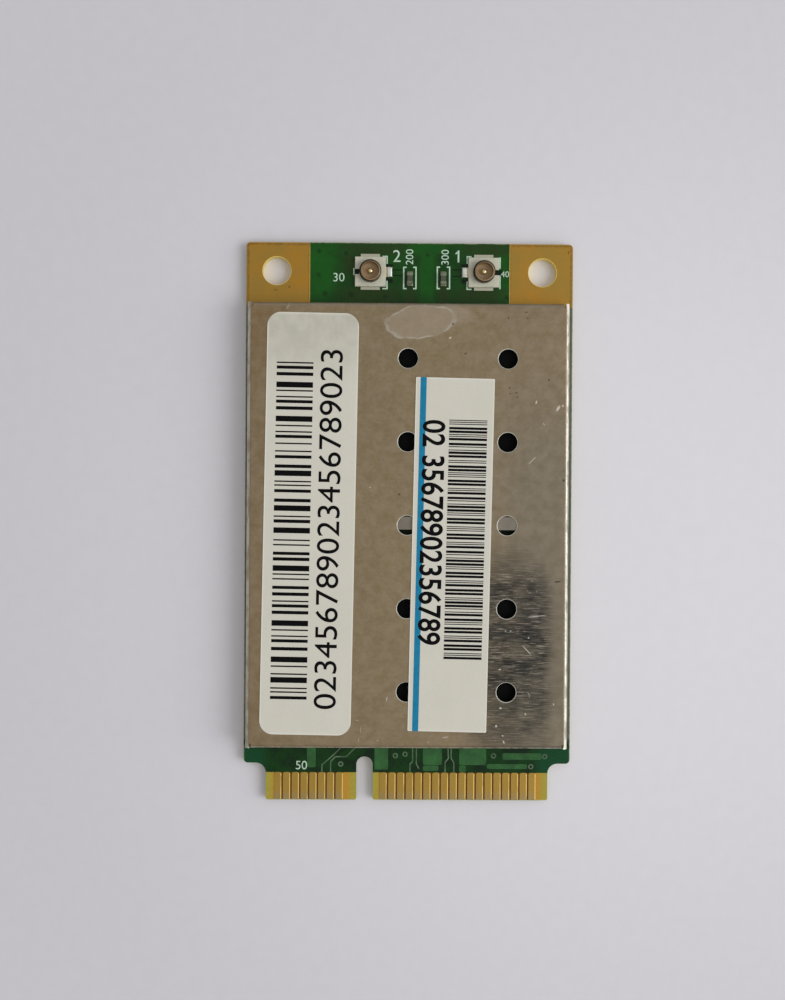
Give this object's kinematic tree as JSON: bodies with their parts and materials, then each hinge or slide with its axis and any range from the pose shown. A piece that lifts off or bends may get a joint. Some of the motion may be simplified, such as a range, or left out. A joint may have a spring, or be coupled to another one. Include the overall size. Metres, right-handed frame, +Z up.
{
  "type": "wireless mini card",
  "caption": "Flat wireless circuit card with a keyed gold edge connector, a clip-on vented metal shield, paper labels, coaxial antenna jacks and plated screw holes.",
  "frame": {"origin": "middle of the board's outline, on the board's underside", "axes": "+X across the card, +Y along the card towards the antenna jacks, +Z up through the shield"},
  "size_m": [0.0298, 0.0508, 0.003],
  "materials": {
    "board_mask": "green solder mask on glass laminate",
    "gold": "thin gold plating, a little worn",
    "shield_metal": "dull tinned sheet with rolling marks",
    "frame_metal": "tinned sheet",
    "label_paper": "matt label stock with printed fields",
    "jack_plastic": "ivory moulding",
    "jack_metal": "dull plated brass",
    "brown_ceramic": "fired, unglazed",
    "pale_ceramic": "fired, unglazed",
    "black_ceramic": "dark glaze or ferrite",
    "tin": "bright solder plating",
    "chip_mould": "black moulding compound"
  },
  "bodies": {
    "root": {"circuit_board": "board_mask", "edge_contacts_top": "gold", "edge_contacts_bottom": "gold", "mount_pad_left": "gold", "mount_pad_right": "gold", "antenna_jack_1_pin": "gold", "antenna_jack_2_pin": "gold", "shield_cover": "shield_metal", "shield_frame": "frame_metal", "rounded_label": "label_paper", "stripe_label": "label_paper", "antenna_jack_1_base": "jack_plastic", "antenna_jack_2_base": "jack_plastic", "antenna_jack_1_shell": "jack_metal", "antenna_jack_2_shell": "jack_metal", "port_capacitor_1_body": "brown_ceramic", "port_capacitor_2_body": "brown_ceramic", "chip_capacitor_bodies": "brown_ceramic", "band_filter_1_body": "pale_ceramic", "band_filter_2_body": "pale_ceramic", "crystal_base": "pale_ceramic", "chip_resistor_bodies": "black_ceramic", "power_inductor_core": "black_ceramic", "port_capacitor_1_ends": "tin", "port_capacitor_2_ends": "tin", "amplifier_1_pads": "tin", "amplifier_2_pads": "tin", "radio_chip_pads": "tin", "antenna_switch_pads": "tin", "baseband_chip_pads": "tin", "regulator_pads": "tin", "memory_chip_leads": "tin", "band_filter_1_ends": "tin", "band_filter_2_ends": "tin", "power_inductor_ends": "tin", "chip_capacitor_ends": "tin", "chip_resistor_ends": "tin", "crystal_lid": "tin", "amplifier_1_body": "chip_mould", "amplifier_2_body": "chip_mould", "radio_chip_body": "chip_mould", "antenna_switch_body": "chip_mould", "baseband_chip_body": "chip_mould", "regulator_body": "chip_mould", "memory_chip_body": "chip_mould"}
  },
  "joints": []
}
